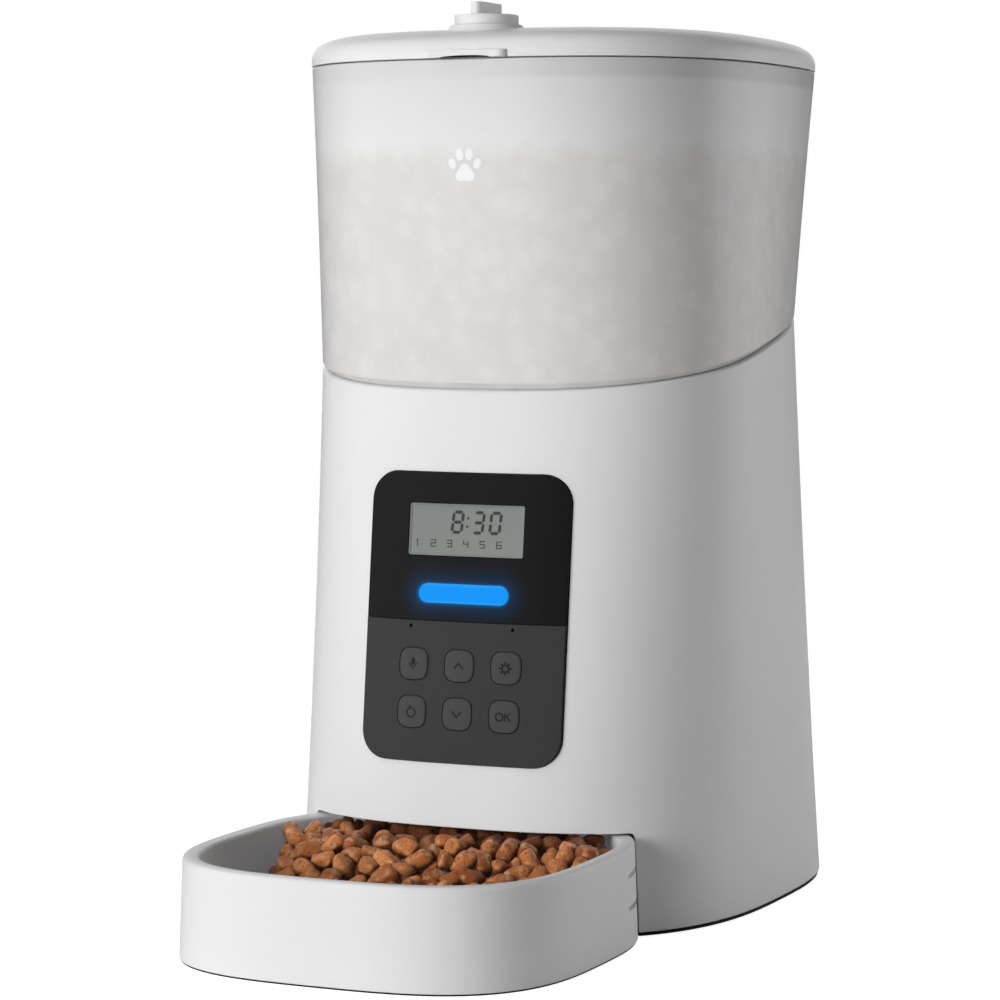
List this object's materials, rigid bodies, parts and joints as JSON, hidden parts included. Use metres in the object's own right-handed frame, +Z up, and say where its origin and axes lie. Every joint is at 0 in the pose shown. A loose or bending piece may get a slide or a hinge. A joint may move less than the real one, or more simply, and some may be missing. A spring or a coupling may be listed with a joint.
{
  "type": "automatic pet feeder",
  "caption": "Programmable dry-food dispenser: waisted white housing with a display and keypad, frosted tank with hinged lid, paddle rotor and pull-out tray.",
  "frame": {"origin": "on the floor, at the middle of the whole feeder's footprint, tray included", "axes": "+Z up; -Y is the front, where the control panel and the tray are; +X is to the right of a person facing the panel"},
  "size_m": [0.19, 0.3383, 0.3552],
  "materials": {
    "white": "white moulded plastic with a fine satin texture",
    "tank": "frosted translucent plastic",
    "black": "black plastic",
    "lens": "polished black panel",
    "keypad": "matt dark grey",
    "button": "matt dark grey silicone",
    "lcd": "grey-green liquid crystal display",
    "light": "lit blue light guide",
    "rubber": "soft rubber",
    "silicone": "pale silicone",
    "nylon": "natural nylon",
    "board": "green circuit board",
    "steel": "bright steel",
    "cell": "plain printed sleeve"
  },
  "bodies": {
    "housing": {"body_shell": "white", "base_plate": "black", "base_screw_1": "steel", "base_screw_2": "steel", "base_screw_3": "steel", "base_screw_4": "steel", "foot_rear_left": "rubber", "foot_rear_right": "rubber", "foot_front_left": "rubber", "foot_front_right": "rubber", "battery_box": "white", "battery_1": "cell", "battery_2": "cell", "battery_3": "cell", "battery_contacts_front": "steel", "battery_contacts_rear": "steel", "control_board": "board", "main_board": "board", "power_socket": "black", "speaker": "black", "microphone": "steel", "panel_frame": "black", "display_lens": "lens", "keypad_plate": "keypad", "lcd_display": "lcd", "status_light": "light", "gearbox_housing": "nylon", "drive_motor": "steel", "tank_deck": "white", "food_chute": "white"},
    "tray": {"food_tray": "white", "tray_foot_left": "rubber", "tray_foot_right": "rubber"},
    "tank": {"food_tank": "tank", "dispenser_floor": "white"},
    "rotor": {"dispensing_rotor": "nylon", "stirrer": "silicone"},
    "drive": {"drive_gear": "nylon"},
    "pinion": {"motor_pinion": "steel"},
    "lid": {"lid": "white", "lid_seal": "silicone", "hinge_pin": "steel", "desiccant_box": "white"},
    "drying_cover": {"desiccant_cover": "white"},
    "lock": {"lock_knob": "white", "lock_tongue": "white"},
    "battery_door": {"battery_door": "black"},
    "button_record": {"button_record": "button"},
    "button_up": {"button_up": "button"},
    "button_settings": {"button_settings": "button"},
    "button_feed": {"button_feed": "button"},
    "button_down": {"button_down": "button"},
    "button_ok": {"button_ok": "button"}
  },
  "joints": [
    {"name": "tray_slide", "type": "slide", "parent": "housing", "child": "tray", "axis": [0, -1, 0], "range_m": [0, 0.16]},
    {"name": "tank_lift", "type": "slide", "parent": "housing", "child": "tank", "axis": [0, 0, 1], "range_m": [0, 0.14]},
    {"name": "rotor_spin", "type": "hinge", "parent": "tank", "child": "rotor", "pos_m": [0, 0.0572, 0.134], "axis": [0, 0, 1], "continuous": true},
    {"name": "drive_spin", "type": "hinge", "parent": "housing", "child": "drive", "pos_m": [0, 0.0572, 0.102], "axis": [0, 0, 1], "continuous": true},
    {"name": "pinion_spin", "type": "hinge", "parent": "housing", "child": "pinion", "pos_m": [0, 0.0764, 0.102], "axis": [0, 0, 1], "continuous": true},
    {"name": "lid_hinge", "type": "hinge", "parent": "tank", "child": "lid", "pos_m": [0, 0.1606, 0.334], "axis": [-1, 0, 0], "range_deg": [0, 100]},
    {"name": "lock_turn", "type": "hinge", "parent": "lid", "child": "lock", "pos_m": [0, -0.0231, 0.3487], "axis": [0, 0, -1], "range_deg": [0, 90]},
    {"name": "drying_cover_turn", "type": "hinge", "parent": "lid", "child": "drying_cover", "pos_m": [0, 0.0692, 0.3329], "axis": [0, 0, 1], "range_deg": [0, 30]},
    {"name": "battery_door_hinge", "type": "hinge", "parent": "housing", "child": "battery_door", "pos_m": [0, 0.0792, 0.0009], "axis": [-1, 0, 0], "range_deg": [0, 100]},
    {"name": "record_press", "type": "slide", "parent": "housing", "child": "button_record", "axis": [0, 1, 0], "range_m": [0, 0.0008], "stiffness_N_per_m": 800},
    {"name": "up_press", "type": "slide", "parent": "housing", "child": "button_up", "axis": [0, 1, 0], "range_m": [0, 0.0008], "stiffness_N_per_m": 800},
    {"name": "settings_press", "type": "slide", "parent": "housing", "child": "button_settings", "axis": [0, 1, 0], "range_m": [0, 0.0008], "stiffness_N_per_m": 800},
    {"name": "feed_press", "type": "slide", "parent": "housing", "child": "button_feed", "axis": [0, 1, 0], "range_m": [0, 0.0008], "stiffness_N_per_m": 800},
    {"name": "down_press", "type": "slide", "parent": "housing", "child": "button_down", "axis": [0, 1, 0], "range_m": [0, 0.0008], "stiffness_N_per_m": 800},
    {"name": "ok_press", "type": "slide", "parent": "housing", "child": "button_ok", "axis": [0, 1, 0], "range_m": [0, 0.0008], "stiffness_N_per_m": 800}
  ],
  "couplings": [
    {"joint": "drive_spin", "follows": "rotor_spin", "ratio": 1},
    {"joint": "pinion_spin", "follows": "rotor_spin", "ratio": -3}
  ]
}
